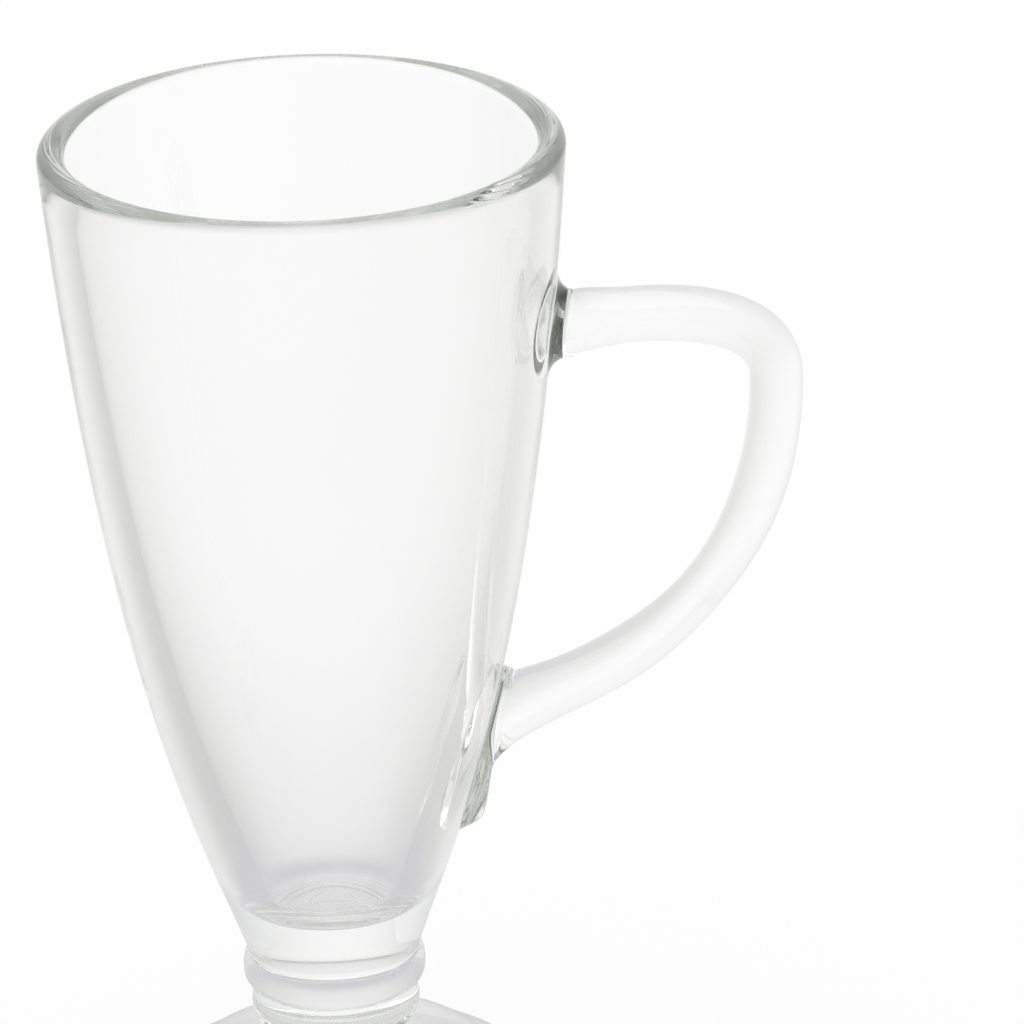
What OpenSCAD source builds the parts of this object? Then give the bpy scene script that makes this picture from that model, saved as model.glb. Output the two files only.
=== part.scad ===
// Irish coffee mug of clear pressed glass: a tall tapering bowl on a short ringed stem
// and a domed foot, with an ear-shaped handle seated on two glass pads.
// Millimetres, +Z up, origin on the mug's axis at the table, handle towards +X.

/* [Overall] */
// Height from the table to the top of the rim
mug_h = 158; // [148:1:175]

/* [Bowl] */
// Outside diameter at the rim
rim_d = 76; // [70:0.5:84]
// Wall thickness at the rim
rim_wall = 4.1; // [3.4:0.1:4.8]
// Wall thickness just above the floor
low_wall = 6.6; // [5.6:0.1:7.6]
// How far the wall leans inwards under the rim, per millimetre of depth
rim_lean = 0.074; // [0.04:0.002:0.1]
// How far the wall leans inwards above the neck, per millimetre of depth
neck_lean = 0.336; // [0.3:0.002:0.38]
// Diameter of the neck that stands on the stem
neck_d = 26.2; // [24:0.2:27]
// Height of the curve that runs the wall into the neck
neck_run = 2; // [1:0.5:5]
// Thickness of solid glass between the floor and the stem
floor_t = 8.9; // [6:0.1:11]
// Height of the rounded corner between floor and wall
floor_run = 6; // [4.5:0.5:7.5]
// Diameter of the round button in the middle of the floor
button_d = 8; // [6:0.2:9]
// Height of that button
button_h = 0.6; // [0.3:0.1:1]

/* [Stem] */
// Height of the upper ring
upper_ring_h = 6.5; // [5:0.1:8.5]
// Diameter of the upper ring
upper_ring_d = 27.6; // [27.2:0.1:31]
// Diameter of the groove between the two rings
groove_d = 23.8; // [21:0.1:25]
// Height of the lower ring
lower_ring_h = 7.4; // [6:0.1:9]
// Diameter of the lower ring
lower_ring_d = 25.4; // [25:0.1:29]

/* [Foot] */
// Diameter of the foot
foot_d = 64; // [60:0.5:72]
// Height of the foot up to the stem
foot_h = 14.2; // [13:0.5:19]
// Diameter of the top of the foot, where the stem stands
waist_d = 22.6; // [20:0.2:24]
// Thickness of the foot's rounded edge
foot_edge = 3; // [2.6:0.1:4]
// Diameter at which the dome runs out into the flat brim
dome_d = 53; // [48:0.5:56]
// Height of the dome there
dome_low = 5.4; // [5:0.1:8]
// Diameter of the hollow under the foot
hollow_d = 50; // [40:0.5:54]
// Depth of that hollow
hollow_h = 2.4; // [1:0.1:3.5]

/* [Handle] */
// Distance from the mug's axis to the outermost point of the handle
handle_reach = 71.7; // [64:0.5:78]
// Depth of the arm's root below the rim
arm_drop = 30; // [28:0.2:36]
// Depth of the outermost point below the rim
bend_drop = 38.9; // [36.6:0.2:46]
// Thickness of the strand, seen from the side
strand_t = 7.8; // [6.5:0.1:9]
// Width of the strand, seen from the end
strand_w = 10.6; // [9:0.1:12]
// Thickness of the strand at its slimmest, low on the outer side
slim_t = 6.7; // [5.8:0.1:7.6]

/* [Handle pads] */
// How far the upper pad stands out of the wall
pad_out = 2.6; // [2:0.1:3.2]
// Diameter of the upper pad's seat for the strand
pad_d = 10; // [9:0.1:12]
// Radius of the flare from that seat to the wall
pad_flare = 3.4; // [3:0.1:4.4]
// Drop from the lower seat's middle down to the neck
seat_drop = 37.2; // [32:0.2:42]
// How far the lower seat stands out of the wall
seat_out = 1.8; // [1.4:0.1:3]
// Length of the lower seat
seat_l = 15.8; // [13:0.2:18]
// Slope of the lower seat, in degrees from upright
seat_tilt = 13.5; // [10:0.5:16]
// Drop from the lower seat's middle down to the middle of the pad's round tail
tail_drop = 13.3; // [10.5:0.1:19]
// How far the tail stands out of the wall
tail_out = 3.1; // [2.4:0.1:4]
// Radius of the tail
tail_r = 5; // [4:0.1:6]

/* [Hidden] */
$fn = 96;

// Points on a curve, and how many sides the handle has
curve_n = 18;
sides = 28;
arm_n = 22;
drop_n = 34;

// Heights of the joints on the axis
z_stem = foot_h;
z_groove = z_stem + lower_ring_h;
z_neck = z_groove + upper_ring_h;
z_floor = z_neck + floor_t;
z_rim = mug_h - rim_wall / 2;

rim_r = rim_d / 2;
neck_r = neck_d / 2;
groove_r = groove_d / 2;
waist_r = waist_d / 2;
foot_r = foot_d / 2;

function quad(a, b, c, t) = (1 - t) * (1 - t) * a + 2 * (1 - t) * t * b + t * t * c;
function cubic(a, b, c, d, t) =
    pow(1 - t, 3) * a + 3 * (1 - t) * (1 - t) * t * b + 3 * (1 - t) * t * t * c + pow(t, 3) * d;
function cubic_dir(a, b, c, d, t) =
    let (v = (1 - t) * (1 - t) * (b - a) + 2 * (1 - t) * t * (c - b) + t * t * (d - c)) v / norm(v);
function mix(a, b, k) = (1 - k) * a + k * b;
function ease(k) = let (q = max(0, min(1, k))) q * q * (3 - 2 * q);

// Outside of the bowl from the neck up to the rim, as [radius, height]
z_sh = z_neck + neck_run;
r_sh = neck_r + neck_lean * neck_run / 2;
wall_h = z_rim - z_sh;
neck_pull = 0.14 * wall_h;
rim_pull = 0.65 * wall_h;
neck_curve = [for (i = [0 : 5])
    quad([neck_r, z_neck], [neck_r, z_neck + neck_run / 2], [r_sh, z_sh], i / 6)];
wall_curve = [for (i = [0 : curve_n])
    cubic([r_sh, z_sh], [r_sh + neck_lean * neck_pull, z_sh + neck_pull],
          [rim_r - rim_lean * rim_pull, z_rim - rim_pull], [rim_r, z_rim], i / curve_n)];
outside = concat(neck_curve, wall_curve);
outside_table = [for (p = outside) [p[1], p[0]]];
function wall_r(z) = lookup(z, outside_table);

// Rounded rim from the outside over to the inside
rim_curve = [for (a = [15 : 15 : 165])
    [rim_r - rim_wall / 2 + rim_wall / 2 * cos(a), z_rim + rim_wall / 2 * sin(a)]];

// Inside of the bowl from the rim down to the middle of the floor
in_lean = neck_lean + 0.02;
in_top = rim_lean + 0.012;
z_in = z_floor + floor_run;
r_in = wall_r(z_in) - low_wall;
r_corner = r_in - in_lean * floor_run;
in_h = z_rim - z_in;
inside = [for (i = [0 : curve_n])
    cubic([rim_r - rim_wall, z_rim], [rim_r - rim_wall - in_top * 0.65 * in_h, z_rim - 0.65 * in_h],
          [r_in + in_lean * 0.14 * in_h, z_in + 0.14 * in_h], [r_in, z_in], i / curve_n)];
corner = [for (i = [1 : 6])
    quad([r_in, z_in], [r_corner, z_floor], [max(r_corner - floor_run, button_d / 2 + 0.5), z_floor], i / 6)];
button = [[button_d / 2, z_floor], [button_d / 2 - 0.3, z_floor + 0.2 * button_h],
          [button_d / 2 - 0.9, z_floor + 0.8 * button_h], [button_d / 2 - 1.3, z_floor + button_h],
          [0, z_floor + button_h]];

// One rounded ring of the stem between two grooves, widest half way up
function ring_r(r0, r1, rmax, u) =
    let (r = u < 0.5 ? r0 : r1) r + (rmax - r) * (1 - pow(2 * u - 1, 2));
function ring(r0, z0, r1, z1, rmax, n) =
    [for (i = [0 : n]) [ring_r(r0, r1, rmax, i / n), mix(z0, z1, i / n)]];
stem_side = concat(
    ring(waist_r, z_stem, groove_r, z_groove, lower_ring_d / 2, 12),
    [for (p = ring(groove_r, z_groove, neck_r, z_neck, upper_ring_d / 2, 14)) if (p[1] > z_groove) p]);

// Foot from the middle of the hollow underneath, out round the edge and up over the dome
hollow = [for (i = [0 : 10]) [hollow_d / 2 * i / 10, hollow_h * (1 - pow(i / 10, 2))]];
edge = [for (a = [-90 : 18 : 90])
    [foot_r - foot_edge / 2 + foot_edge / 2 * cos(a), foot_edge / 2 + foot_edge / 2 * sin(a)]];
brim_r = foot_r - foot_edge / 2;
brim = [for (i = [1 : 7])
    quad([brim_r, foot_edge], [dome_d / 2 + 1.6, foot_edge + 0.5], [dome_d / 2, dome_low], i / 7)];
dome = [for (i = [1 : 14])
    cubic([dome_d / 2, dome_low], [dome_d / 2 - 3.1, dome_low + 4],
          [waist_r + 6.7, foot_h - 2.6], [waist_r, foot_h], i / 14)];

// Upper seat, lower seat and tail, as [distance from the axis, height] in the handle's plane
z_arm = mug_h - arm_drop;
pad_tilt = atan((wall_r(z_arm + 6) - wall_r(z_arm - 6)) / 12);
pad_up = [sin(pad_tilt), cos(pad_tilt)];
x_arm = wall_r(z_arm) + pad_out;
seat_up = [sin(seat_tilt), cos(seat_tilt)];
seat_n = [cos(seat_tilt), -sin(seat_tilt)];
z_seat = z_neck + seat_drop;
seat_c = [wall_r(z_seat) + seat_out, z_seat];
z_tail = z_seat - tail_drop;
tail_c = [wall_r(z_tail) + tail_out - tail_r, z_tail];
crown_c = seat_c - (tail_r + 0.3) * seat_n;

// Middle line of the handle: an arm out to the bend, then a long drop to the lower seat
x_bend = handle_reach - strand_t / 2;
z_bend = mug_h - bend_drop;
arm_span = x_bend - x_arm;
arm_rise = z_arm - z_bend;
drop_end = seat_c + 0.17 * seat_l * seat_up;
drop_h = z_bend - drop_end[1];
drop_span = x_bend - drop_end[0];
arm_p = [[x_arm, z_arm], [x_arm + 0.40 * arm_span, z_arm + 0.08 * arm_span],
         [x_bend, z_bend + 1.26 * arm_rise], [x_bend, z_bend]];
drop_p = [[x_bend, z_bend], [x_bend, z_bend - 0.602 * drop_h],
          drop_end + 0.482 * drop_span * [1, 0.22], drop_end];

// The strand's outer and inner line: square to its middle line, and drawn onto the seats at both ends
function strand_half(k) = (strand_t - (strand_t - slim_t) * pow(sin(180 * max(0, min(1, k))), 2)) / 2;
function arm_row(i) =
    let (t = i / arm_n, c = cubic(arm_p[0], arm_p[1], arm_p[2], arm_p[3], t),
         d = cubic_dir(arm_p[0], arm_p[1], arm_p[2], arm_p[3], t), n = [-d[1], d[0]],
         k = 1 - ease(t / 0.22), h = strand_t / 2)
    [c + mix(h * n, pad_d / 2 * pad_up, k), c - mix(h * n, pad_d / 2 * pad_up, k),
     mix(strand_w / 2, pad_d / 2, k)];
function drop_row(i) =
    let (t = i / drop_n, c = cubic(drop_p[0], drop_p[1], drop_p[2], drop_p[3], t),
         d = cubic_dir(drop_p[0], drop_p[1], drop_p[2], drop_p[3], t), n = [-d[1], d[0]],
         k = pow(max(0, (t - 0.7) / 0.3), 3.6), h = strand_half((t - 0.16) / 0.6))
    [mix(c + h * n, seat_c - seat_l / 2 * seat_up, k), mix(c - h * n, seat_c + seat_l / 2 * seat_up, k),
     mix(strand_w / 2, tail_r, ease(t))];
rows = concat([for (i = [0 : arm_n]) arm_row(i)],
              [for (i = [1 : drop_n]) drop_row(i)]);

function row_points(r) = let (c = (r[0] + r[1]) / 2, a = (r[0] - r[1]) / 2)
    [for (j = [0 : sides - 1]) let (q = 360 * j / sides)
        [c[0] + a[0] * cos(q), r[2] * sin(q), c[1] + a[1] * cos(q)]];

// Colours of the glass
glass_c = [0.86, 0.91, 0.90, 0.45];
handle_c = [0.90, 0.94, 0.94, 0.5];
pad_c = [0.72, 0.78, 0.76, 0.55];
stem_c = [0.80, 0.85, 0.85, 0.5];

// The bowl's outside as a solid body, to seat the pads on the wall
module bowl_body() {
    rotate_extrude() polygon(concat([[0, z_neck]], outside, [[0, z_rim]]));
}

module bowl() {
    color(glass_c)
        rotate_extrude() polygon(concat([[0, z_neck]], outside, rim_curve, inside, corner, button));
}

module stem() {
    color(stem_c) rotate_extrude() polygon(concat([[0, z_stem]], stem_side, [[0, z_neck]]));
}

module foot() {
    color(stem_c) rotate_extrude() polygon(concat(hollow, edge, brim, dome, [[0, foot_h]]));
}

module upper_handle_pad() {
    flare = [for (i = [0 : 8]) let (a = 90 * i / 8)
        [pad_d / 2 + pad_flare * (1 - cos(a)), -pad_flare * sin(a)]];
    color(pad_c) difference() {
        translate([x_arm, 0, z_arm]) rotate([0, 90 + pad_tilt, 0])
            rotate_extrude() polygon(concat([[0, 0]], flare,
                [[pad_d / 2 + pad_flare, -pad_flare - 4], [0, -pad_flare - 4]]));
        bowl_body();
    }
}

module lower_handle_pad() {
    run = crown_c - tail_c;
    color(pad_c) difference() {
        union() {
            translate([tail_c[0], 0, tail_c[1]]) rotate([0, atan2(run[0], run[1]), 0])
                rotate_extrude() polygon(concat(
                    [for (q = [-90 : 10 : 0]) [tail_r * cos(q), tail_r * sin(q)]],
                    [[tail_r, norm(run)], [0, norm(run)]]));
            translate([seat_c[0], 0, seat_c[1]]) rotate([0, 90 + seat_tilt, 0])
                translate([0, 0, -seat_out - 3]) linear_extrude(seat_out + 3)
                    polygon([for (j = [0 : sides - 1]) let (q = 360 * j / sides)
                        [-seat_l / 2 * cos(q), tail_r * sin(q)]]);
        }
        bowl_body();
    }
}

module handle() {
    n = len(rows);
    points = [for (r = rows) each row_points(r)];
    skin = [for (i = [0 : n - 2], j = [0 : sides - 1])
        let (a = i * sides + j, b = i * sides + (j + 1) % sides)
        each [[a, b, a + sides], [b, b + sides, a + sides]]];
    color(handle_c) polyhedron(points, concat(
        [[for (j = [sides - 1 : -1 : 0]) j]], skin, [[for (j = [0 : sides - 1]) (n - 1) * sides + j]]));
}

bowl();
upper_handle_pad();
lower_handle_pad();
handle();
stem();
foot();
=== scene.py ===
"""Builds the looks of a clear pressed glass mug on a short ringed stem, around its packed frame."""

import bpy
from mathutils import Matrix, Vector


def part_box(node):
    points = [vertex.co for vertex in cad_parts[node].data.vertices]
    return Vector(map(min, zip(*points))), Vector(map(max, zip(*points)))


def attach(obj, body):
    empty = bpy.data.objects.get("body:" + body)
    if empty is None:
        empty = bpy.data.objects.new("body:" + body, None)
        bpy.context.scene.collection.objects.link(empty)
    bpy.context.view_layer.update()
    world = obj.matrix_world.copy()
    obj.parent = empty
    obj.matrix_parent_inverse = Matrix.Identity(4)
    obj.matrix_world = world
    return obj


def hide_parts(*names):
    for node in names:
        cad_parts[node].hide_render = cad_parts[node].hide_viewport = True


bl_info = {
    "name": "Irish Coffee Glass Mug",
    "version": (1, 0, 0),
    "blender": (4, 5, 0),
    "location": "View3D > Sidebar > Glass Mug",
    "description": "Models a clear glass mug with a tapering bowl, ringed stem, domed foot and ear handle",
    "category": "Add Mesh",
}

import bisect
import functools
import math

import bmesh
import bpy
from bpy.props import FloatProperty, FloatVectorProperty, PointerProperty
from mathutils import Matrix, Vector

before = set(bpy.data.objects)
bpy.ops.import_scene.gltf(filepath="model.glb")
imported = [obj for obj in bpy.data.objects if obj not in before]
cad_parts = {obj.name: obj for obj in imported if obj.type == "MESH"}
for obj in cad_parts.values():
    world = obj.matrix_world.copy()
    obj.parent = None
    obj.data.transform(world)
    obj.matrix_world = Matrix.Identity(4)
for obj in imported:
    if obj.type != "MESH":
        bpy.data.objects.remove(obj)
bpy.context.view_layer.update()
BOWL_LOW, BOWL_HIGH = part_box("bowl")
STEM_LOW, STEM_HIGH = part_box("stem")
FOOT_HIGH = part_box("foot")[1]
HANDLE_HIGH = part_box("handle")[1]

BODY = "root"
MM = 0.001

# How finely the glass is meshed
TURN_STEPS = 288
CURVE_STEPS = 60
WALL_SAMPLES = 600
ROUND_STEPS = 20
STRAND_SIDES = 128
ARM_ROWS = 90
DROP_ROWS = 140
PAD_ROWS = 48
NECK_STEPS = 12
DISC_STEPS = 6
BUTTON_STEPS = 14
HOLLOW_STEPS = 24
RING_STEPS = 4
FLOOR_SIDES = 96
MERGE_GAP = 0.5e-6
CREASE_ANGLE = math.radians(38)

# How far the wall's curve holds its lean at its lower and upper end, as shares of its height
LOW_PULL = 0.14
HIGH_PULL = 0.65

# How much more the inside leans than the outside, above the floor and under the rim
INNER_LOW_LEAN = 0.02
INNER_HIGH_LEAN = 0.012

# Width of the button's sloping side, and the least ring of flat floor round it
BUTTON_SLOPE = 1.3 * MM
BUTTON_RING = 0.5 * MM

# The lower and the upper ring of the stem: share of its height at which it is widest, and power
# of its upper half, which makes it squarer. The lower half always has the power of a plain round
LOWER_RING = 0.7, 1.6
UPPER_RING = 0.5, 3
ROUND_POWER = 2

# Middle points of the curves over the foot: of the brim and of the dome's lower end, from where
# the dome runs out, and of the dome's upper end, from the waist
BRIM_BEND = Vector((1.6, 0.5)) * MM
DOME_LOW_BEND = Vector((-3.1, 4)) * MM
DOME_HIGH_BEND = Vector((6.7, -2.6)) * MM

# Half the height over which the wall's slope is taken, under the upper seat and anywhere else
SEAT_SPAN = 6 * MM
SLOPE_SPAN = MM

# Bends of the strand's middle line, as shares of its spans: how the arm leaves the upper seat and
# comes into the bend, how the drop leaves the bend and comes in, and how high on the lower seat
ARM_LEAVE = Vector((0.40, 0.08))
ARM_ARRIVE = 1.26
DROP_LEAVE = 0.602
DROP_ARRIVE = 0.482 * Vector((1, 0.22))
DROP_LANDING = 0.34

# Shares of the way: where the arm has left its seat's shape, where the drop grows slim
# and for how long, and where and how late it takes the lower seat's shape
ARM_SEAT_RUN = 0.22
SLIM_START = 0.16
SLIM_RUN = 0.6
LANDING_START = 0.7
LANDING_POWER = 3.6

# Stretch in which a pad's side is looked for on the wall, and how often it is halved
SEARCH_NEAR = -4 * MM
SEARCH_FAR = 14 * MM
SEARCH_HALVINGS = 40

# How far a pad's side is drawn into its corner with the wall, at its ends and in its middle
SIDE_PULL = 0.4
CORNER_PULL = 0.6

# How much the tail of the lower pad spreads sideways on the wall, as a share of its run,
# how much narrower its ridge is than the seat, and how far its brow follows the ridge
TAIL_SPREAD = 0.8
TAIL_KEEL = 0.5
TAIL_BROW = 0.5

# Light runs far round inside the wall before it comes out
GLASS_BOUNCES = 200

# Where the floor's tones change: the white sweep's sideways and forward reach and least depth, the turn
# from left to right, the near painted shadow round the foot, and both edges of the ring of painted shadow
SWEEP_SPREAD = 1.2, 0.0
SWEEP_REACH = -0.095, 0.21
SWEEP_LEAST = 0.02
FLOOR_TURN = -0.8, 0.8
NEAR_SHADOW_REACH = -0.07, 0.27
SHADE_INSIDE = 0.032, 0.044
SHADE_OUTSIDE = 0.064, 0.045

# Where the room is white behind the mug, and where it turns from left to right
ROOM_BEHIND = Vector((0, 0.975, 0.222))
ROOM_WHITE = 0.53, 1.10
ROOM_TURN = -0.9, 0.9

# Where the lamp hangs, how wide the camera's sensor is, and how near and far the camera sees
LAMP_AT = Vector((-0.3, 0.4, 1.6))
SENSOR_MM = 36
CLIP_NEAR, CLIP_FAR = 0.01, 50
WHITE = 1, 1, 1

# Material slots on every piece of glass
GLASS, JOINT = 0, 1


def size(label, note, millimetres):
    """A length that is written in millimetres and kept in metres."""
    return FloatProperty(name=label, description=note, default=millimetres * MM, unit="LENGTH",
                         subtype="DISTANCE", precision=5)


def share(label, note, value, unit="NONE"):
    """A plain number, or one in a unit that needs no conversion."""
    return FloatProperty(name=label, description=note, default=value, precision=4, unit=unit)


def degrees(label, note, value):
    """An angle that is written in degrees and kept in radians."""
    return FloatProperty(name=label, description=note, default=math.radians(value), precision=5,
                         unit="ROTATION", subtype="ANGLE")


def tone(label, note, value):
    """A colour in linear light."""
    return FloatVectorProperty(name=label, description=note, default=value, size=3, subtype="COLOR",
                               min=0, max=1)


class MUG_PG_bowl(bpy.types.PropertyGroup):
    """Sizes of the bowl that its box doesn't give."""

    rim_wall: size("Rim wall", "Wall thickness at the rim", 4.1)
    low_wall: size("Low wall", "Wall thickness just above the floor", 6.6)
    rim_lean: share("Rim lean", "How far the wall leans inwards under the rim, per depth", 0.074)
    neck_lean: share("Neck lean", "How far the wall leans inwards above the neck, per depth", 0.336)
    neck_d: size("Neck", "Diameter of the neck on the stem", 26.2)
    neck_run: size("Neck run", "Height of the curve from the neck into the wall", 2)
    floor_t: size("Floor", "Solid glass between the floor and the stem", 8.9)
    floor_run: size("Floor corner", "Height of the rounded corner between floor and wall", 6)
    button_d: size("Button", "Diameter of the round button in the floor", 8)
    button_h: size("Button height", "Height of that button", 0.6)


class MUG_PG_stem(bpy.types.PropertyGroup):
    """Sizes of the ringed stem and the domed foot."""

    lower_ring_h: size("Lower ring height", "Height of the lower ring", 8)
    lower_ring_d: size("Lower ring", "Diameter of the lower ring", 25.4)
    groove_d: size("Groove", "Diameter of the groove between the rings", 23.8)
    waist_d: size("Waist", "Diameter of the top of the foot", 20)
    foot_edge: size("Foot edge", "Thickness of the foot's rounded edge", 3)
    dome_d: size("Dome", "Diameter at which the dome runs out into the brim", 53)
    dome_low: size("Dome height", "Height of the dome there", 5.4)
    hollow_d: size("Hollow", "Diameter of the hollow under the foot", 50)
    hollow_h: size("Hollow depth", "Depth of that hollow", 2.4)


class MUG_PG_handle(bpy.types.PropertyGroup):
    """Sizes of the handle's strand and of the two pads that join it to the wall."""

    arm_drop: size("Arm drop", "Depth of the arm's root below the rim", 30)
    bend_drop: size("Bend drop", "Depth of the outermost point below the rim", 38.9)
    strand_t: size("Strand", "Thickness of the strand seen from the side", 7.8)
    strand_w: size("Strand width", "Width of the strand seen from the end", 10.6)
    slim_t: size("Slimmest", "Thickness of the strand at its slimmest", 6.7)
    pad_out: size("Upper pad", "How far the upper pad stands out of the wall", 2.6)
    pad_d: size("Upper seat", "Diameter of the upper pad's seat", 10)
    pad_flare: size("Upper flare", "How far the upper pad spreads over the wall", 3.4)
    seat_drop: size("Lower seat drop", "Drop from the lower seat's middle to the neck", 37.2)
    seat_out: size("Lower pad", "How far the lower seat stands out of the wall", 1.8)
    seat_l: size("Lower seat length", "Length of the lower seat", 15.8)
    seat_tilt: degrees("Lower seat tilt", "Slope of the lower seat from upright", 13.5)
    tail_drop: size("Tail drop", "Drop from the lower seat's middle to the end of the tail", 18.3)
    tail_out: size("Tail", "How far the tail's corner stands out of the wall", 4)
    tail_rise: size("Tail corner", "How far that corner lies above the end of the tail", 2.6)
    tail_r: size("Tail radius", "Half the width of the lower pad", 5)
    low_flare: size("Lower flare", "How far the lower pad spreads over the wall", 0.9)
    sunk: size("Joint depth", "How deep the pads are melted into the wall", 0.4)


class MUG_PG_glass(bpy.types.PropertyGroup):
    """Looks of the glass."""

    ior: share("Index", "Index of refraction of the glass", 1.51)
    depth: size("Tint depth", "Depth of glass at which the tints are seen", 50)
    bowl_tint: tone("Bowl tint", "Colour that the bowl lets through at that depth", (0.92, 0.925, 0.914))
    handle_tint: tone("Handle tint", "Colour that the handle lets through", (0.915, 0.925, 0.912))
    stem_tint: tone("Stem tint", "Colour that the stem and foot let through", (0.918, 0.925, 0.914))
    wave: size("Waves", "Height of the slight waves that pressing leaves", 0.012)
    wave_l: size("Wave length", "Distance between those waves", 16)


class MUG_PG_stage(bpy.types.PropertyGroup):
    """Camera, floor and light."""

    camera_at: FloatVectorProperty(name="Camera", description="Where the camera stands", size=3,
                                   subtype="TRANSLATION", unit="LENGTH",
                                   default=(0.02877, -0.81228, 0.44311))
    pitch: degrees("Pitch", "How far the camera looks down", 22.99)
    roll: degrees("Roll", "How far the camera is turned about its own axis", -1.57)
    lens: share("Lens", "Focal length in millimetres", 210.94, "CAMERA")
    floor_r: size("Floor", "Radius of the floor", 3000)
    floor_gap: size("Floor gap", "Air between the foot and the floor", 0.05)
    floor_tone: tone("Floor colour", "Colour of the floor", (0.92, 0.92, 0.92))
    glow: share("Floor glow", "Share of the floor's tone that doesn't depend on its light", 0.85)
    left_floor: tone("Left floor", "Floor to the left, as the glass shows it", (0.62, 0.62, 0.61))
    right_floor: tone("Right floor", "Floor to the right, as the glass shows it", (0.79, 0.79, 0.775))
    # Colour of the painted shadow on the floor round the foot, which only the glass shows
    near_shadow_tone: tone("Near tone", "Floor round the foot, as the glass shows it", (0.56, 0.56, 0.56))
    # Colour of the ring of painted contact shadow round the foot
    foot_shadow_tone: tone("Foot tone", "Shade round the foot, as the glass shows it", (0.6, 0.595, 0.63))
    sweep_turn: degrees("Sweep", "How far to the left the white sweep lies behind the mug", 5.5)
    left_tone: tone("Left tone", "Tone of the room to the left", (0.85, 0.85, 0.86))
    right_tone: tone("Right tone", "Tone of the room to the right", (0.78, 0.78, 0.79))
    sky_tone: tone("Background", "Tone of the room where the camera sees it", (0.93, 0.93, 0.93))
    lamp_size: size("Lamp", "Side of the lamp above the mug", 2000)
    lamp_power: share("Lamp power", "Power of that lamp", 9.0, "POWER")


def blend(a, b, k):
    """From a at 0 to b at 1."""
    return a * (1 - k) + b * k


def ease(k):
    """A smooth step from 0 to 1."""
    k = min(max(k, 0), 1)
    return k * k * (3 - 2 * k)


def on_curve(controls, t):
    """The point at t, from 0 to 1, on the smooth curve that these control points draw."""
    points = list(controls)
    while len(points) > 1:
        points = [blend(a, b, t) for a, b in zip(points, points[1:])]
    return points[0]


def curve_heading(controls, t):
    """The direction of that curve at t."""
    steps = [(b - a) for a, b in zip(controls, controls[1:])]
    return on_curve(steps, t).normalized()


def curve_points(controls, count, first=0):
    """Points along that curve, without the first few if they are there already."""
    return [on_curve(controls, i / count) for i in range(first, count + 1)]


def arc_points(centre, radius, start, end, count):
    """Points along an arc from one angle to another, in degrees."""
    angles = [math.radians(start + (end - start) * i / count) for i in range(count + 1)]
    return [centre + radius * Vector((math.cos(a), math.sin(a))) for a in angles]


def disc_outwards(radius, z):
    """Points of a flat disc's outline, from the axis to just short of its edge."""
    return [Vector((radius * i / DISC_STEPS, z)) for i in range(DISC_STEPS)]


def disc_inwards(radius, z):
    """Points of a flat disc's outline, from just inside its edge to the axis."""
    return [Vector((radius * (1 - i / DISC_STEPS), z)) for i in range(1, DISC_STEPS + 1)]


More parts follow.
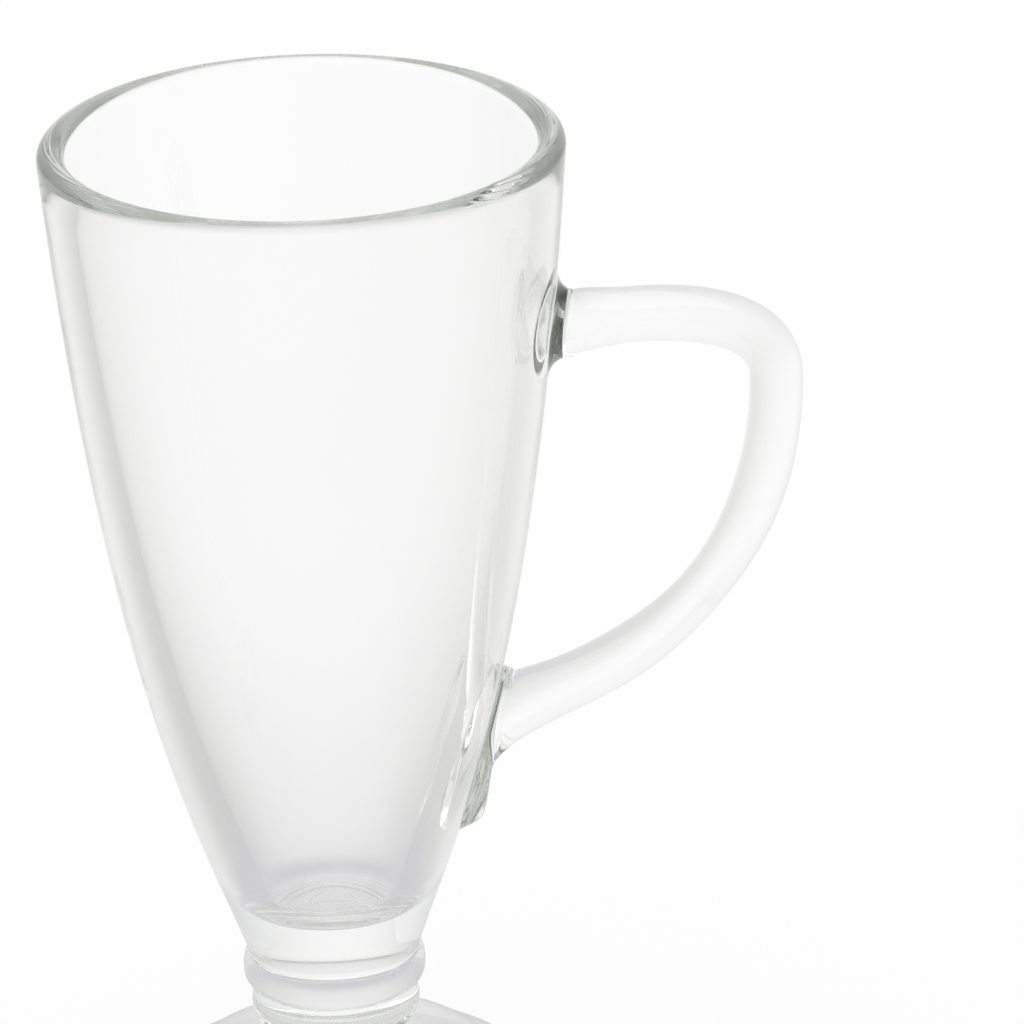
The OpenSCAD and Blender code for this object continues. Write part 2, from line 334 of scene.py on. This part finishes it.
class MugShape:
    """The mug's outlines, as (distance from the axis, height), worked out from the scene's sizes."""

    def __init__(self, scene):
        self.bowl = scene.mug_bowl
        self.stem = scene.mug_stem
        self.hand = scene.mug_handle
        self.mug_h = BOWL_HIGH.z
        self.rim_r = BOWL_HIGH.x
        self.neck_r = self.bowl.neck_d / 2
        self.z_neck = BOWL_LOW.z
        self.z_stem = STEM_LOW.z
        self.z_groove = self.z_stem + self.stem.lower_ring_h
        self.z_floor = self.z_neck + self.bowl.floor_t
        self.z_rim = self.mug_h - self.bowl.rim_wall / 2
        self.shoulder = Vector((self.neck_r + self.bowl.neck_lean * self.bowl.neck_run / 2,
                                self.z_neck + self.bowl.neck_run))
        self.wall = self.wall_controls(self.shoulder, Vector((self.rim_r, self.z_rim)),
                                       self.bowl.neck_lean, self.bowl.rim_lean)
        self.wall_table = curve_points(self.wall, WALL_SAMPLES)
        self.wall_heights = [p.y for p in self.wall_table]

    @staticmethod
    def wall_controls(low, high, low_lean, high_lean):
        """A wall that leans by low_lean at its lower end and by high_lean at its upper end."""
        low_pull = LOW_PULL * (high.y - low.y) * Vector((low_lean, 1))
        high_pull = HIGH_PULL * (high.y - low.y) * Vector((high_lean, 1))
        return [low, low + low_pull, high - high_pull, high]

    def wall_at(self, z):
        """The point of the outer wall at height z, for heights above the shoulder."""
        i = min(max(bisect.bisect(self.wall_heights, z), 1), WALL_SAMPLES)
        low, high = self.wall_table[i - 1], self.wall_table[i]
        return blend(low, high, (z - low.y) / (high.y - low.y))

    def wall_r(self, z):
        """The outer wall's radius at height z."""
        return self.wall_at(z).x

    def bowl_outline(self):
        """From the middle of the neck up the outside, over the rim and down the inside."""
        b = self.bowl
        neck = [Vector((self.neck_r, self.z_neck)), Vector((self.neck_r, self.z_neck + b.neck_run / 2)),
                self.shoulder]
        rim_middle = Vector((self.rim_r - b.rim_wall / 2, self.z_rim))
        z_in = self.z_floor + b.floor_run
        inner_low = Vector((self.wall_r(z_in) - b.low_wall, z_in))
        inner_lean = b.neck_lean + INNER_LOW_LEAN
        inner = self.wall_controls(inner_low, Vector((self.rim_r - b.rim_wall, self.z_rim)),
                                   inner_lean, b.rim_lean + INNER_HIGH_LEAN)
        corner_r = inner_low.x - inner_lean * b.floor_run
        flat_r = max(corner_r - b.floor_run, b.button_d / 2 + BUTTON_RING)
        corner = [inner_low, Vector((corner_r, self.z_floor)), Vector((flat_r, self.z_floor))]
        return (disc_outwards(self.neck_r, self.z_neck)
                + curve_points(neck, NECK_STEPS)
                + curve_points(self.wall, CURVE_STEPS, 1)
                + arc_points(rim_middle, b.rim_wall / 2, 0, 180, ROUND_STEPS)[1:]
                + curve_points(inner[::-1], CURVE_STEPS, 1)
                + curve_points(corner, ROUND_STEPS, 1)
                + self.button_outline())

    def button_outline(self):
        """The low round button in the middle of the floor, from its edge to the axis."""
        b = self.bowl
        edge = b.button_d / 2
        top = edge - BUTTON_SLOPE
        steps = [i / BUTTON_STEPS for i in range(BUTTON_STEPS + 1)]
        side = [Vector((blend(edge, top, k), self.z_floor + b.button_h * ease(k))) for k in steps]
        return side + disc_inwards(top, self.z_floor + b.button_h)

    def stem_outline(self):
        """From the axis out under the lower ring, up both rings and back to the axis."""
        s = self.stem
        waist, groove = s.waist_d / 2, s.groove_d / 2
        low = self.ring_side(waist, groove, s.lower_ring_d / 2, self.z_stem, self.z_groove, *LOWER_RING)
        high = self.ring_side(groove, self.neck_r, STEM_HIGH.x, self.z_groove, self.z_neck, *UPPER_RING)
        return disc_outwards(waist, self.z_stem) + low + high[1:] + disc_inwards(self.neck_r, self.z_neck)

    @staticmethod
    def ring_side(r_low, r_high, r_wide, z_low, z_high, rise, power):
        """One rounded ring between two grooves, widest at a share of its height."""
        steps = 2 * ROUND_STEPS
        wide = Vector((r_wide, blend(z_low, z_high, rise)))
        side = []
        for i in range(steps + 1):
            turn = -math.cos(math.pi * i / steps)
            groove = Vector((r_low, z_low)) if turn < 0 else Vector((r_high, z_high))
            sink = abs(turn) ** (ROUND_POWER if turn < 0 else power)
            side.append(Vector((blend(wide.x, groove.x, sink), blend(wide.y, groove.y, abs(turn)))))
        return side

    def foot_outline(self):
        """From the middle of the hollow underneath, out round the edge and up over the dome."""
        s = self.stem
        foot_r, foot_h, waist, dome_r = FOOT_HIGH.x, FOOT_HIGH.z, s.waist_d / 2, s.dome_d / 2
        hollow_r, edge_r = s.hollow_d / 2, s.foot_edge / 2
        steps = [i / HOLLOW_STEPS for i in range(HOLLOW_STEPS + 1)]
        hollow = [Vector((hollow_r * k, s.hollow_h * (1 - k ** 2))) for k in steps]
        flat = [blend(hollow[-1], Vector((foot_r - edge_r, 0)), i / RING_STEPS) for i in range(1, RING_STEPS)]
        edge = arc_points(Vector((foot_r - edge_r, edge_r)), edge_r, -90, 90, ROUND_STEPS)
        dome_end, top = Vector((dome_r, s.dome_low)), Vector((waist, foot_h))
        brim = [edge[-1], Vector((dome_r, s.foot_edge)) + BRIM_BEND, dome_end]
        dome = [dome_end, dome_end + DOME_LOW_BEND, top + DOME_HIGH_BEND, top]
        return (hollow + flat + edge + curve_points(brim, ROUND_STEPS, 1)
                + curve_points(dome, 2 * ROUND_STEPS, 1) + disc_inwards(waist, foot_h))

    def upper_seat(self):
        """Middle, long half axis, half width and outward direction of the upper pad's seat."""
        h = self.hand
        z = self.mug_h - h.arm_drop
        up = (self.wall_at(z + SEAT_SPAN) - self.wall_at(z - SEAT_SPAN)).normalized()
        middle = Vector((self.wall_r(z) + h.pad_out, z))
        return middle, up * h.pad_d / 2, h.pad_d / 2, Vector((up.y, -up.x))

    def lower_seat(self):
        """The same of the lower pad's seat, whose long half axis points down."""
        h = self.hand
        z = self.z_neck + h.seat_drop
        up = Vector((math.sin(h.seat_tilt), math.cos(h.seat_tilt)))
        middle = Vector((self.wall_r(z) + h.seat_out, z))
        return middle, up * -h.seat_l / 2, h.tail_r, Vector((up.y, -up.x))

    def strand_rows(self):
        """Middle, half axis and half width of each ring of the handle's strand, from pad to pad."""
        h = self.hand
        arm_end, arm_axis, arm_w, _ = self.upper_seat()
        low_end, low_axis, low_w, _ = self.lower_seat()
        bend = Vector((HANDLE_HIGH.x - h.strand_t / 2, self.mug_h - h.bend_drop))
        span, rise = bend - arm_end, arm_end.y - bend.y
        arm = [arm_end, arm_end + span.x * ARM_LEAVE, bend + Vector((0, ARM_ARRIVE * rise)), bend]
        drop_end = low_end - DROP_LANDING * low_axis
        fall = bend - drop_end
        drop = [bend, bend - Vector((0, DROP_LEAVE * fall.y)), drop_end + fall.x * DROP_ARRIVE, drop_end]
        rows = []
        for i in range(ARM_ROWS + 1):
            t = i / ARM_ROWS
            heading = curve_heading(arm, t)
            square = Vector((-heading.y, heading.x)) * h.strand_t / 2
            k = 1 - ease(t / ARM_SEAT_RUN)
            rows.append((on_curve(arm, t), blend(square, arm_axis, k), blend(h.strand_w / 2, arm_w, k)))
        for i in range(1, DROP_ROWS + 1):
            t = i / DROP_ROWS
            heading = curve_heading(drop, t)
            slim = math.sin(math.pi * min(max((t - SLIM_START) / SLIM_RUN, 0), 1)) ** 2
            square = Vector((-heading.y, heading.x)) * blend(h.strand_t, h.slim_t, slim) / 2
            k = max(0, (t - LANDING_START) / (1 - LANDING_START)) ** LANDING_POWER
            rows.append((blend(on_curve(drop, t), low_end, k), blend(square, low_axis, k),
                         blend(h.strand_w / 2, low_w, ease(t))))
        return rows

    def foot_on_wall(self, point, outward):
        """Where a line from the point, against the outward direction, meets the wall."""
        near, far = SEARCH_NEAR, SEARCH_FAR
        for _ in range(SEARCH_HALVINGS):
            middle = (near + far) / 2
            p = point - middle * outward
            if math.hypot(p.x, p.y) > self.wall_r(p.z):
                near = middle
            else:
                far = middle
        return point - (near + far) / 2 * outward

    def slide_on_wall(self, point, across, along):
        """A point of the wall, moved over the wall sideways and along its slope."""
        here = self.wall_at(point.z)
        slope = (self.wall_at(point.z + SLOPE_SPAN) - self.wall_at(point.z - SLOPE_SPAN)).normalized()
        z = point.z + along * slope.y
        turn = math.atan2(point.y, point.x) + across / here.x
        radius = self.wall_r(z)
        return Vector((radius * math.cos(turn), radius * math.sin(turn), z))


def in_plane(p):
    """A point of the handle's plane in space."""
    return Vector((p.x, 0, p.y))


def turned(outline):
    """A closed body that an outline from axis to axis makes when it turns about Z."""
    bm = bmesh.new()
    verts = [bm.verts.new((p.x, 0, p.y)) for p in outline]
    edges = [bm.edges.new(pair) for pair in zip(verts, verts[1:])]
    bmesh.ops.spin(bm, geom=verts + edges, axis=(0, 0, 1), cent=(0, 0, 0), angle=math.tau, steps=TURN_STEPS,
                   use_merge=True)
    bmesh.ops.remove_doubles(bm, verts=bm.verts, dist=MERGE_GAP)
    bmesh.ops.recalc_face_normals(bm, faces=bm.faces)
    return bm


def drawn(rows):
    """A closed body drawn out ring by ring. A row is a function from angle to point, and its skin's slot."""
    bm = bmesh.new()
    angle = bm.verts.layers.float.new("angle")
    ring = bmesh.ops.create_circle(bm, segments=STRAND_SIDES, radius=1)["verts"]
    for vert in ring:
        vert[angle] = math.atan2(vert.co.y, vert.co.x)
    for number, (place, slot) in enumerate(rows):
        if number:
            inside = set(ring)
            edges = dict.fromkeys(e for v in ring for e in v.link_edges if inside.issuperset(e.verts))
            made = bmesh.ops.extrude_edge_only(bm, edges=list(edges))["geom"]
            ring = [g for g in made if isinstance(g, bmesh.types.BMVert)]
            for face in (g for g in made if isinstance(g, bmesh.types.BMFace)):
                face.material_index = slot
        for vert in ring:
            vert.co = place(vert[angle])
    ends = bmesh.ops.holes_fill(bm, edges=[e for e in bm.edges if e.is_boundary], sides=0)["faces"]
    for face in ends:
        face.material_index = JOINT
    bmesh.ops.poke(bm, faces=ends)
    bmesh.ops.recalc_face_normals(bm, faces=bm.faces)
    return bm


def mark_flat_joints(bm, *heights):
    """Gives the flat discs at these heights, where two pieces are fused, the slot of a joint."""
    for face in bm.faces:
        if any(all(abs(v.co.z - z) < MERGE_GAP for v in face.verts) for z in heights):
            face.material_index = JOINT


def drop_flakes(mesh):
    """Takes away the thin flakes that a cut leaves loose beside the main body."""
    bm = bmesh.new()
    bm.from_mesh(mesh)
    bodies = []
    waiting = dict.fromkeys(bm.faces)
    while waiting:
        body = [waiting.popitem()[0]]
        for face in body:
            for edge in (e for e in face.edges if len(e.link_faces) == 2):
                for beside in edge.link_faces:
                    if beside in waiting:
                        del waiting[beside]
                        body.append(beside)
        bodies.append(body)
    main_body = max(bodies, key=len)
    flakes = [face for body in bodies if body is not main_body for face in body]
    bmesh.ops.delete(bm, geom=flakes, context="FACES")
    bmesh.ops.triangulate(bm, faces=[f for f in bm.faces if len(f.verts) > 4])
    bmesh.ops.dissolve_degenerate(bm, dist=MERGE_GAP, edges=bm.edges)
    bm.to_mesh(mesh)
    bm.free()


def glass_piece(bm, name, node, glass):
    """Makes the piece, in place of its node of the frame."""
    for face in bm.faces:
        face.smooth = True
    mesh = bpy.data.meshes.new(name)
    bm.to_mesh(mesh)
    bm.free()
    mesh.set_sharp_from_angle(angle=CREASE_ANGLE)
    mesh.materials.append(glass)
    mesh.materials.append(joint_material())
    piece = bpy.data.objects.new(name, mesh)
    bpy.context.scene.collection.objects.link(piece)
    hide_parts(node)
    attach(piece, BODY)
    return piece


def new_material(name):
    """An empty material with its output."""
    material = bpy.data.materials.new(name)
    material.use_nodes = True
    tree = material.node_tree
    tree.nodes.clear()
    return material, tree, tree.nodes.new("ShaderNodeOutputMaterial")


def math_node(tree, operation, a, b):
    """A Math node whose inputs are sockets or numbers."""
    node = tree.nodes.new("ShaderNodeMath")
    node.operation = operation
    for socket, value in zip(node.inputs, (a, b)):
        if isinstance(value, bpy.types.NodeSocket):
            tree.links.new(value, socket)
        else:
            socket.default_value = value
    return node.outputs[0]


def dot_node(tree, vector, direction):
    """How far a vector goes in a direction."""
    node = tree.nodes.new("ShaderNodeVectorMath")
    node.operation = "DOT_PRODUCT"
    tree.links.new(vector, node.inputs[0])
    node.inputs[1].default_value = direction
    return node.outputs["Value"]


def step_node(tree, value, start, end):
    """A smooth step from 0 at start to 1 at end."""
    node = tree.nodes.new("ShaderNodeMapRange")
    node.interpolation_type = "SMOOTHSTEP"
    tree.links.new(value, node.inputs["Value"])
    node.inputs["From Min"].default_value = start
    node.inputs["From Max"].default_value = end
    return node.outputs["Result"]


def tone_node(tree, factor, a, b):
    """From colour a to colour b."""
    node = tree.nodes.new("ShaderNodeMix")
    node.data_type = "RGBA"
    tree.links.new(factor, node.inputs["Factor"])
    for name, value in (("A", a), ("B", b)):
        socket = next(i for i in node.inputs if i.name == name and i.type == "RGBA")
        if isinstance(value, bpy.types.NodeSocket):
            tree.links.new(value, socket)
        else:
            socket.default_value = (*value, 1)
    return next(o for o in node.outputs if o.type == "RGBA")


def joint_material():
    """Where two pieces are fused there is no surface to see."""
    found = bpy.data.materials.get("fused_joint")
    if found:
        return found
    material, tree, output = new_material("fused_joint")
    clear = tree.nodes.new("ShaderNodeBsdfTransparent")
    tree.links.new(clear.outputs[0], output.inputs["Surface"])
    return material


def glass_material(name, tint, looks):
    """Clear glass with slight waves, tinted by how far light has gone inside it."""
    found = bpy.data.materials.get(name)
    if found:
        return found
    material, tree, output = new_material(name)
    nodes, links = tree.nodes, tree.links
    path = nodes.new("ShaderNodeLightPath")
    geometry = nodes.new("ShaderNodeNewGeometry")
    depth = math_node(tree, "DIVIDE", path.outputs["Ray Length"], looks.depth)
    inside = nodes.new("ShaderNodeCombineColor")
    for channel, value in zip(inside.inputs, tint):
        links.new(math_node(tree, "POWER", value, depth), channel)
    passed = tone_node(tree, geometry.outputs["Backfacing"], WHITE, inside.outputs["Color"])
    coordinates = nodes.new("ShaderNodeTexCoord")
    waves = nodes.new("ShaderNodeTexNoise")
    waves.inputs["Scale"].default_value = 1 / looks.wave_l
    waves.inputs["Detail"].default_value = 1.0
    links.new(coordinates.outputs["Object"], waves.inputs["Vector"])
    bump = nodes.new("ShaderNodeBump")
    bump.inputs["Distance"].default_value = looks.wave
    links.new(waves.outputs["Fac"], bump.inputs["Height"])
    glass = nodes.new("ShaderNodeBsdfGlass")
    glass.inputs["IOR"].default_value = looks.ior
    glass.inputs["Roughness"].default_value = 0.0
    links.new(passed, glass.inputs["Color"])
    links.new(bump.outputs["Normal"], glass.inputs["Normal"])
    links.new(glass.outputs[0], output.inputs["Surface"])
    return material


def sweep_material(looks):
    """A white floor. The glass shows a white sweep behind the mug, greyer parts beside it, and a painted
    shadow round and under the foot.
    """
    material, tree, output = new_material("white_sweep")
    nodes, links = tree.nodes, tree.links
    place = nodes.new("ShaderNodeTexCoord").outputs["Object"]
    turn = Matrix.Rotation(looks.sweep_turn, 3, "Z")
    along = dot_node(tree, place, turn @ Vector((0, 1, 0)))
    across = dot_node(tree, place, turn @ Vector((1, 0, 0)))
    ahead = math_node(tree, "MAXIMUM", along, SWEEP_LEAST)
    spread = math_node(tree, "DIVIDE", math_node(tree, "ABSOLUTE", across, 0), ahead)
    wedge = step_node(tree, spread, *SWEEP_SPREAD)
    white = math_node(tree, "MULTIPLY", wedge, step_node(tree, along, *SWEEP_REACH))
    measure = nodes.new("ShaderNodeVectorMath")
    measure.operation = "LENGTH"
    links.new(place, measure.inputs[0])
    away = measure.outputs["Value"]
    rightward = step_node(tree, math_node(tree, "DIVIDE", across, away), *FLOOR_TURN)
    edges = tone_node(tree, rightward, looks.left_floor, looks.right_floor)
    # Round the foot the glass sees the floor darkened to the near tone, a painted shadow
    sides = tone_node(tree, step_node(tree, away, *NEAR_SHADOW_REACH), looks.near_shadow_tone, edges)
    far = tone_node(tree, white, sides, WHITE)
    # A ring of painted contact shadow on the floor round the foot, which only the glass shows
    inside, outside = step_node(tree, away, *SHADE_INSIDE), step_node(tree, away, *SHADE_OUTSIDE)
    shade = math_node(tree, "MULTIPLY", inside, outside)
    shown = tone_node(tree, shade, far, looks.foot_shadow_tone)
    path = nodes.new("ShaderNodeLightPath")
    glow = nodes.new("ShaderNodeEmission")
    links.new(tone_node(tree, path.outputs["Is Camera Ray"], shown, WHITE), glow.inputs["Color"])
    through = math_node(tree, "MAXIMUM", path.outputs["Is Glossy Ray"], path.outputs["Is Transmission Ray"])
    seen = math_node(tree, "MAXIMUM", path.outputs["Is Camera Ray"], through)
    matt = nodes.new("ShaderNodeBsdfDiffuse")
    matt.inputs["Color"].default_value = (*looks.floor_tone, 1)
    mixed = nodes.new("ShaderNodeMixShader")
    links.new(math_node(tree, "MULTIPLY", seen, looks.glow), mixed.inputs["Fac"])
    links.new(matt.outputs[0], mixed.inputs[1])
    links.new(glow.outputs[0], mixed.inputs[2])
    links.new(mixed.outputs[0], output.inputs["Surface"])
    return material


class MUG_OT_handle(bpy.types.Operator):
    """Draw the ear-shaped strand of glass between the two pads"""

    bl_idname = "mug.handle"
    bl_label = "Handle"

    def execute(self, context):
        shape = MugShape(context.scene)
        looks = context.scene.mug_glass
        rows = [(self.ring(*row), GLASS) for row in shape.strand_rows()]
        glass_piece(drawn(rows), "ear_handle", "handle",
                    glass_material("clear_handle_glass", looks.handle_tint, looks))
        return {"FINISHED"}

    @staticmethod
    def ring(middle, half_axis, half_width):
        """The points of an oval ring by their angle."""
        def place(q):
            return in_plane(middle + half_axis * math.cos(q)) + Vector((0, half_width * math.sin(q), 0))
        return place


class MUG_OT_pads(bpy.types.Operator):
    """Press the two pads that join the handle to the wall"""

    bl_idname = "mug.pads"
    bl_label = "Handle pads"

    def execute(self, context):
        shape = MugShape(context.scene)
        hand = context.scene.mug_handle
        looks = context.scene.mug_glass
        glass = glass_material("clear_handle_glass", looks.handle_tint, looks)
        upper = self.pad_rows(shape, shape.upper_seat(), 1, hand.pad_flare, 0)
        glass_piece(drawn(upper), "upper_pad", "upper_handle_pad", glass)
        tail_run = hand.tail_drop - hand.seat_l / 2
        lower = self.pad_rows(shape, shape.lower_seat(), -1, hand.low_flare, tail_run)
        glass_piece(drawn(lower), "lower_pad", "lower_handle_pad", glass)
        return {"FINISHED"}

    @staticmethod
    def pad_rows(shape, seat, upward, flare, tail_run):
        """Rings from the seat down to the wall, where they flare out, and on under the wall's surface."""
        middle, half_axis, half_width, normal = seat
        outward = in_plane(normal)
        upright = in_plane(half_axis.normalized()) * upward

        @functools.lru_cache(maxsize=None)
        def path(q):
            rim = in_plane(middle + half_axis * math.cos(q)) + Vector((0, half_width * math.sin(q), 0))
            foot = shape.foot_on_wall(rim, outward)
            tail = max(0, math.cos(q)) ** 2 if tail_run else 0
            spread = flare + tail * tail_run
            end = shape.slide_on_wall(foot, (flare + TAIL_SPREAD * tail * tail_run) * math.sin(q),
                                      upward * spread * math.cos(q))
            corner = blend(rim + end, 2 * foot, CORNER_PULL) / 2
            fillet = [rim, blend(rim, foot, SIDE_PULL), corner, blend(end, foot, SIDE_PULL), end]
            keel = shape.slide_on_wall(foot, -TAIL_KEEL * half_width * math.sin(q),
                                       upward * spread * math.cos(q))
            brow = rim + TAIL_BROW * (keel - foot)
            jaw = keel + shape.hand.tail_out * outward + shape.hand.tail_rise * upright
            chin = [rim, brow, jaw, jaw, end]
            return [blend(a, b, tail) for a, b in zip(fillet, chin)]

        def ring(s):
            return lambda q: on_curve(path(q), s)

        def melted(q):
            return path(q)[-1] - shape.hand.sunk * outward

        rows = [(ring(i / PAD_ROWS), GLASS) for i in range(PAD_ROWS + 1)]
        return rows + [(melted, JOINT)]


class MUG_OT_bowl(bpy.types.Operator):
    """Turn the tapering bowl and melt the handle's pads into its wall"""

    bl_idname = "mug.bowl"
    bl_label = "Bowl"

    def execute(self, context):
        shape = MugShape(context.scene)
        looks = context.scene.mug_glass
        bm = turned(shape.bowl_outline())
        mark_flat_joints(bm, shape.z_neck)
        bowl = glass_piece(bm, "tapered_bowl", "bowl",
                           glass_material("clear_bowl_glass", looks.bowl_tint, looks))
        for name in ("upper_pad", "lower_pad"):
            pocket = bowl.modifiers.new(name, "BOOLEAN")
            pocket.operation = "DIFFERENCE"
            pocket.solver = "EXACT"
            pocket.object = bpy.data.objects[name]
        evaluated = bowl.evaluated_get(context.evaluated_depsgraph_get())
        cut = bpy.data.meshes.new_from_object(evaluated)
        bowl.modifiers.clear()
        bowl.data = cut
        drop_flakes(cut)
        cut.set_sharp_from_angle(angle=CREASE_ANGLE)
        return {"FINISHED"}


class MUG_OT_stem(bpy.types.Operator):
    """Turn the stem with its two rings"""

    bl_idname = "mug.stem"
    bl_label = "Stem"

    def execute(self, context):
        shape = MugShape(context.scene)
        looks = context.scene.mug_glass
        bm = turned(shape.stem_outline())
        mark_flat_joints(bm, shape.z_stem, shape.z_neck)
        glass_piece(bm, "ringed_stem", "stem",
                    glass_material("clear_stem_glass", looks.stem_tint, looks))
        return {"FINISHED"}


class MUG_OT_foot(bpy.types.Operator):
    """Turn the domed foot with the hollow underneath"""

    bl_idname = "mug.foot"
    bl_label = "Foot"

    def execute(self, context):
        shape = MugShape(context.scene)
        looks = context.scene.mug_glass
        bm = turned(shape.foot_outline())
        mark_flat_joints(bm, shape.z_stem)
        glass_piece(bm, "domed_foot", "foot",
                    glass_material("clear_stem_glass", looks.stem_tint, looks))
        return {"FINISHED"}


class MUG_OT_stage(bpy.types.Operator):
    """Set up the camera, the pale floor and the soft light"""

    bl_idname = "mug.stage"
    bl_label = "Stage"

    def execute(self, context):
        looks = context.scene.mug_stage
        self.camera(context.scene, looks)
        self.floor(context.scene, looks)
        self.lamp(context.scene, looks)
        self.surroundings(context.scene, looks)
        context.scene.view_settings.view_transform = "Standard"
        light_paths = context.scene.cycles
        light_paths.max_bounces = GLASS_BOUNCES
        light_paths.transmission_bounces = GLASS_BOUNCES
        light_paths.glossy_bounces = GLASS_BOUNCES
        light_paths.transparent_max_bounces = GLASS_BOUNCES
        return {"FINISHED"}

    @staticmethod
    def camera(scene, looks):
        """A camera with a long lens, at the photograph's viewing angle."""
        data = bpy.data.cameras.new("camera")
        data.sensor_width = SENSOR_MM
        data.lens = looks.lens
        data.clip_start = CLIP_NEAR
        data.clip_end = CLIP_FAR
        camera = bpy.data.objects.new("camera", data)
        look = Matrix.Rotation(math.pi / 2 - looks.pitch, 4, "X")
        turn = Matrix.Rotation(looks.roll, 4, "Z")
        camera.matrix_world = Matrix.Translation(looks.camera_at) @ look @ turn
        scene.collection.objects.link(camera)
        scene.camera = camera

    @staticmethod
    def floor(scene, looks):
        """A wide round floor just under the foot."""
        bm = bmesh.new()
        bmesh.ops.create_circle(bm, cap_ends=True, segments=FLOOR_SIDES, radius=looks.floor_r)
        bmesh.ops.translate(bm, verts=bm.verts, vec=(0, 0, -looks.floor_gap))
        mesh = bpy.data.meshes.new("floor")
        bm.to_mesh(mesh)
        bm.free()
        mesh.materials.append(sweep_material(looks))
        floor = bpy.data.objects.new("floor", mesh)
        scene.collection.objects.link(floor)

    @staticmethod
    def lamp(scene, looks):
        """One wide soft lamp that points at the mug."""
        data = bpy.data.lights.new("soft_lamp", "AREA")
        data.size = looks.lamp_size
        data.energy = looks.lamp_power
        lamp = bpy.data.objects.new("soft_lamp", data)
        lamp.location = LAMP_AT
        lamp.rotation_euler = LAMP_AT.to_track_quat("Z", "Y").to_euler()
        scene.collection.objects.link(lamp)

    @staticmethod
    def surroundings(scene, looks):
        """A pale room, white behind the mug."""
        world = bpy.data.worlds.new("studio")
        world.use_nodes = True
        tree = world.node_tree
        tree.nodes.clear()
        nodes, links = tree.nodes, tree.links
        output = nodes.new("ShaderNodeOutputWorld")
        background = nodes.new("ShaderNodeBackground")
        direction = nodes.new("ShaderNodeTexCoord").outputs["Generated"]
        split = nodes.new("ShaderNodeSeparateXYZ")
        links.new(direction, split.inputs[0])
        behind = Matrix.Rotation(looks.sweep_turn, 3, "Z") @ ROOM_BEHIND
        white = step_node(tree, dot_node(tree, direction, behind), *ROOM_WHITE)
        rightward = step_node(tree, split.outputs["X"], *ROOM_TURN)
        sides = tone_node(tree, rightward, looks.left_tone, looks.right_tone)
        room = tone_node(tree, white, sides, WHITE)
        seen = nodes.new("ShaderNodeLightPath").outputs["Is Camera Ray"]
        links.new(tone_node(tree, seen, room, looks.sky_tone), background.inputs["Color"])
        links.new(background.outputs[0], output.inputs["Surface"])
        scene.world = world


class MUG_PT_panel(bpy.types.Panel):
    """Lists the mug's pieces and their sizes"""

    bl_label = "Glass Mug"
    bl_idname = "MUG_PT_panel"
    bl_space_type = "VIEW_3D"
    bl_region_type = "UI"
    bl_category = "Glass Mug"

    def draw(self, context):
        layout = self.layout
        for operator in OPERATORS:
            layout.operator(operator.bl_idname)
        for name, group in GROUPS.items():
            box = layout.box()
            box.label(text=group.__doc__)
            for key in group.__annotations__:
                box.prop(getattr(context.scene, name), key)


GROUPS = {
    "mug_bowl": MUG_PG_bowl,
    "mug_stem": MUG_PG_stem,
    "mug_handle": MUG_PG_handle,
    "mug_glass": MUG_PG_glass,
    "mug_stage": MUG_PG_stage,
}
OPERATORS = (MUG_OT_handle, MUG_OT_pads, MUG_OT_bowl, MUG_OT_stem, MUG_OT_foot, MUG_OT_stage)
CLASSES = (*GROUPS.values(), *OPERATORS, MUG_PT_panel)


def register():
    """Adds the classes and the scene's settings."""
    for cls in CLASSES:
        bpy.utils.register_class(cls)
    for name, group in GROUPS.items():
        setattr(bpy.types.Scene, name, PointerProperty(type=group))


def unregister():
    """Takes them away again."""
    for name in GROUPS:
        delattr(bpy.types.Scene, name)
    for cls in reversed(CLASSES):
        bpy.utils.unregister_class(cls)


def main():
    """Builds every piece in order."""
    register()
    bpy.ops.mug.handle()
    bpy.ops.mug.pads()
    bpy.ops.mug.bowl()
    bpy.ops.mug.stem()
    bpy.ops.mug.foot()
    bpy.ops.mug.stage()


if __name__ == "__main__":
    main()
